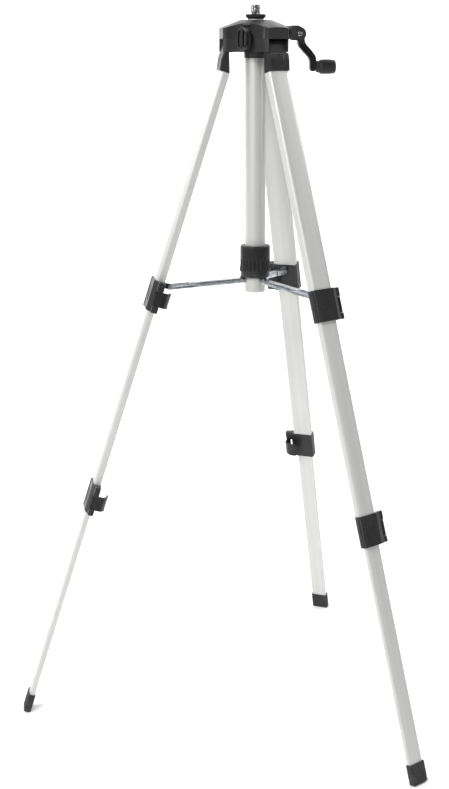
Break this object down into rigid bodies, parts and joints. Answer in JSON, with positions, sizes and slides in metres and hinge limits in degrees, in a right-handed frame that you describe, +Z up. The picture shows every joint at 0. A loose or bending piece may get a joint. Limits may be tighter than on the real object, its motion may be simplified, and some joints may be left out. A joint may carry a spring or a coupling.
{
  "type": "elevating instrument tripod",
  "caption": "Three-legged elevating tripod for a laser level: folding telescopic legs with flip locks, mid braces, geared rising column with folding crank, threaded stud.",
  "frame": {"origin": "centre of the instrument seat, on the column axis, at the foot of the stud", "axes": "+Z up along the column and stud, +X along the crank shaft towards the crank handle"},
  "size_m": [0.5675, 0.6542, 1.0698],
  "materials": {
    "anodised_aluminium": "satin anodised",
    "black_plastic": "satin moulded, fine grain",
    "zinc_steel": "bright zinc plated",
    "chrome": "chrome plated thread",
    "black_rubber": "matt rubber",
    "steel": "plain steel"
  },
  "bodies": {
    "head": {"canopy_cover": "black_plastic", "leg_spider": "black_plastic", "leg_hinge_pins": "steel", "canopy_screws": "steel", "guide_tube": "anodised_aluminium", "column_collar": "black_plastic"},
    "column": {"center_column": "anodised_aluminium", "column_plug": "black_plastic", "tripod_stud": "chrome", "seat_disc": "black_plastic", "column_rack": "black_plastic", "column_foot_bush": "black_plastic"},
    "crank": {"crank_shaft": "steel", "pinion_gear": "steel", "crank_hub": "black_plastic", "crank_hinge_screw": "steel"},
    "crank_arm": {"crank_arm": "black_plastic", "handle_pin": "steel"},
    "crank_handle": {"crank_handle": "black_plastic"},
    "lock_knob": {"lock_knob": "black_plastic", "lock_screw": "steel"},
    "brace_hub": {"brace_hub": "black_plastic", "hub_rivets": "zinc_steel"},
    "hub_nut": {"hub_nut": "black_plastic"},
    "leg_a": {"leg_a_bracket": "black_plastic", "leg_a_upper_tube": "anodised_aluminium", "leg_a_upper_lock": "black_plastic"},
    "leg_a_upper_lever": {"leg_a_upper_lever": "black_plastic"},
    "leg_a_middle": {"leg_a_middle_tube": "anodised_aluminium", "leg_a_slide_bush": "black_plastic", "leg_a_lower_lock": "black_plastic"},
    "leg_a_lower_lever": {"leg_a_lower_lever": "black_plastic"},
    "leg_a_lower": {"leg_a_lower_tube": "anodised_aluminium", "leg_a_foot": "black_rubber"},
    "brace_a": {"brace_a": "zinc_steel"},
    "brace_a_fork": {"brace_a_fork": "zinc_steel"},
    "leg_b": {"leg_b_bracket": "black_plastic", "leg_b_upper_tube": "anodised_aluminium", "leg_b_upper_lock": "black_plastic"},
    "leg_b_upper_lever": {"leg_b_upper_lever": "black_plastic"},
    "leg_b_middle": {"leg_b_middle_tube": "anodised_aluminium", "leg_b_slide_bush": "black_plastic", "leg_b_lower_lock": "black_plastic"},
    "leg_b_lower_lever": {"leg_b_lower_lever": "black_plastic"},
    "leg_b_lower": {"leg_b_lower_tube": "anodised_aluminium", "leg_b_foot": "black_rubber"},
    "brace_b": {"brace_b": "zinc_steel"},
    "brace_b_fork": {"brace_b_fork": "zinc_steel"},
    "leg_c": {"leg_c_bracket": "black_plastic", "leg_c_upper_tube": "anodised_aluminium", "leg_c_upper_lock": "black_plastic"},
    "leg_c_upper_lever": {"leg_c_upper_lever": "black_plastic"},
    "leg_c_middle": {"leg_c_middle_tube": "anodised_aluminium", "leg_c_slide_bush": "black_plastic", "leg_c_lower_lock": "black_plastic"},
    "leg_c_lower_lever": {"leg_c_lower_lever": "black_plastic"},
    "leg_c_lower": {"leg_c_lower_tube": "anodised_aluminium", "leg_c_foot": "black_rubber"},
    "brace_c": {"brace_c": "zinc_steel"},
    "brace_c_fork": {"brace_c_fork": "zinc_steel"}
  },
  "joints": [
    {"name": "column_lift", "type": "slide", "parent": "head", "child": "column", "axis": [0, 0, 1], "range_m": [0, 0.22]},
    {"name": "crank_turn", "type": "hinge", "parent": "head", "child": "crank", "pos_m": [0.03, 0.0177, -0.0255], "axis": [-1, 0, 0], "range_deg": [0, 2101]},
    {"name": "crank_arm_fold", "type": "hinge", "parent": "crank", "child": "crank_arm", "pos_m": [0.0662, 0.0177, -0.0265], "axis": [0, -1, 0], "range_deg": [0, 150]},
    {"name": "crank_handle_spin", "type": "hinge", "parent": "crank_arm", "child": "crank_handle", "pos_m": [0.105, 0.0177, -0.0725], "axis": [1, 0, 0], "continuous": true},
    {"name": "column_lock_turn", "type": "hinge", "parent": "head", "child": "lock_knob", "pos_m": [-0.025, -0.0433, -0.034], "axis": [-0.5, -0.866, 0], "range_deg": [0, 720]},
    {"name": "brace_hub_slide", "type": "slide", "parent": "head", "child": "brace_hub", "axis": [0, 0, 1], "range_m": [0, 0.0895]},
    {"name": "hub_nut_turn", "type": "hinge", "parent": "brace_hub", "child": "hub_nut", "pos_m": [0, 0, -0.348], "axis": [0, 0, 1], "range_deg": [0, 360]},
    {"name": "leg_a_fold", "type": "hinge", "parent": "head", "child": "leg_a", "pos_m": [-0.03606, 0, -0.0459], "axis": [0, -1, 0], "range_deg": [0, 16]},
    {"name": "leg_a_upper_lever_flip", "type": "hinge", "parent": "leg_a", "child": "leg_a_upper_lever", "pos_m": [-0.15148, -0.03, -0.39954], "axis": [-0.3103, 0, -0.9507], "range_deg": [0, 100]},
    {"name": "leg_a_middle_slide", "type": "slide", "parent": "leg_a", "child": "leg_a_middle", "axis": [0.3103, 0, 0.9507], "range_m": [0, 0.27]},
    {"name": "leg_a_lower_lever_flip", "type": "hinge", "parent": "leg_a_middle", "child": "leg_a_lower_lever", "pos_m": [-0.25232, -0.0277, -0.7085], "axis": [-0.3103, 0, -0.9507], "range_deg": [0, 100]},
    {"name": "leg_a_lower_slide", "type": "slide", "parent": "leg_a_middle", "child": "leg_a_lower", "axis": [0.3103, 0, 0.9507], "range_m": [0, 0.3]},
    {"name": "brace_a_hinge", "type": "hinge", "parent": "brace_hub", "child": "brace_a", "pos_m": [-0.019, 0, -0.3804], "axis": [0, -1, 0], "range_deg": [0, 80.6]},
    {"name": "brace_a_fork_hinge", "type": "hinge", "parent": "leg_a", "child": "brace_a_fork", "pos_m": [-0.12765, 0, -0.38744], "axis": [0, -1, 0], "range_deg": [0, 64.6]},
    {"name": "leg_b_fold", "type": "hinge", "parent": "head", "child": "leg_b", "pos_m": [0.01803, -0.03123, -0.0459], "axis": [0.866, 0.5, 0], "range_deg": [0, 16]},
    {"name": "leg_b_upper_lever_flip", "type": "hinge", "parent": "leg_b", "child": "leg_b_upper_lever", "pos_m": [0.10172, -0.11619, -0.39954], "axis": [0.1551, -0.2687, -0.9507], "range_deg": [0, 100]},
    {"name": "leg_b_middle_slide", "type": "slide", "parent": "leg_b", "child": "leg_b_middle", "axis": [-0.1551, 0.2687, 0.9507], "range_m": [0, 0.27]},
    {"name": "leg_b_lower_lever_flip", "type": "hinge", "parent": "leg_b_middle", "child": "leg_b_lower_lever", "pos_m": [0.15015, -0.20466, -0.7085], "axis": [0.1551, -0.2687, -0.9507], "range_deg": [0, 100]},
    {"name": "leg_b_lower_slide", "type": "slide", "parent": "leg_b_middle", "child": "leg_b_lower", "axis": [-0.1551, 0.2687, 0.9507], "range_m": [0, 0.3]},
    {"name": "brace_b_hinge", "type": "hinge", "parent": "brace_hub", "child": "brace_b", "pos_m": [0.0095, -0.01645, -0.3804], "axis": [0.866, 0.5, 0], "range_deg": [0, 80.6]},
    {"name": "brace_b_fork_hinge", "type": "hinge", "parent": "leg_b", "child": "brace_b_fork", "pos_m": [0.06383, -0.11055, -0.38744], "axis": [0.866, 0.5, 0], "range_deg": [0, 64.6]},
    {"name": "leg_c_fold", "type": "hinge", "parent": "head", "child": "leg_c", "pos_m": [0.01803, 0.03123, -0.0459], "axis": [-0.866, 0.5, 0], "range_deg": [0, 16]},
    {"name": "leg_c_upper_lever_flip", "type": "hinge", "parent": "leg_c", "child": "leg_c_upper_lever", "pos_m": [0.04976, 0.14619, -0.39954], "axis": [0.1551, 0.2687, -0.9507], "range_deg": [0, 100]},
    {"name": "leg_c_middle_slide", "type": "slide", "parent": "leg_c", "child": "leg_c_middle", "axis": [-0.1551, -0.2687, 0.9507], "range_m": [0, 0.27]},
    {"name": "leg_c_lower_lever_flip", "type": "hinge", "parent": "leg_c_middle", "child": "leg_c_lower_lever", "pos_m": [0.10217, 0.23236, -0.7085], "axis": [0.1551, 0.2687, -0.9507], "range_deg": [0, 100]},
    {"name": "leg_c_lower_slide", "type": "slide", "parent": "leg_c_middle", "child": "leg_c_lower", "axis": [-0.1551, -0.2687, 0.9507], "range_m": [0, 0.3]},
    {"name": "brace_c_hinge", "type": "hinge", "parent": "brace_hub", "child": "brace_c", "pos_m": [0.0095, 0.01645, -0.3804], "axis": [-0.866, 0.5, 0], "range_deg": [0, 80.6]},
    {"name": "brace_c_fork_hinge", "type": "hinge", "parent": "leg_c", "child": "brace_c_fork", "pos_m": [0.06383, 0.11055, -0.38744], "axis": [-0.866, 0.5, 0], "range_deg": [0, 64.6]}
  ],
  "couplings": [
    {"joint": "crank_turn", "follows": "column_lift", "rad_per_m": 166.67},
    {"joint": "brace_hub_slide", "follows": "leg_a_fold", "m_per_rad": 0.31968},
    {"joint": "brace_a_hinge", "follows": "leg_a_fold", "ratio": 5.0322},
    {"joint": "brace_a_fork_hinge", "follows": "leg_a_fold", "ratio": 4.0322},
    {"joint": "leg_b_fold", "follows": "leg_a_fold", "ratio": 1},
    {"joint": "brace_b_hinge", "follows": "leg_a_fold", "ratio": 5.0322},
    {"joint": "brace_b_fork_hinge", "follows": "leg_a_fold", "ratio": 4.0322},
    {"joint": "leg_c_fold", "follows": "leg_a_fold", "ratio": 1},
    {"joint": "brace_c_hinge", "follows": "leg_a_fold", "ratio": 5.0322},
    {"joint": "brace_c_fork_hinge", "follows": "leg_a_fold", "ratio": 4.0322}
  ]
}
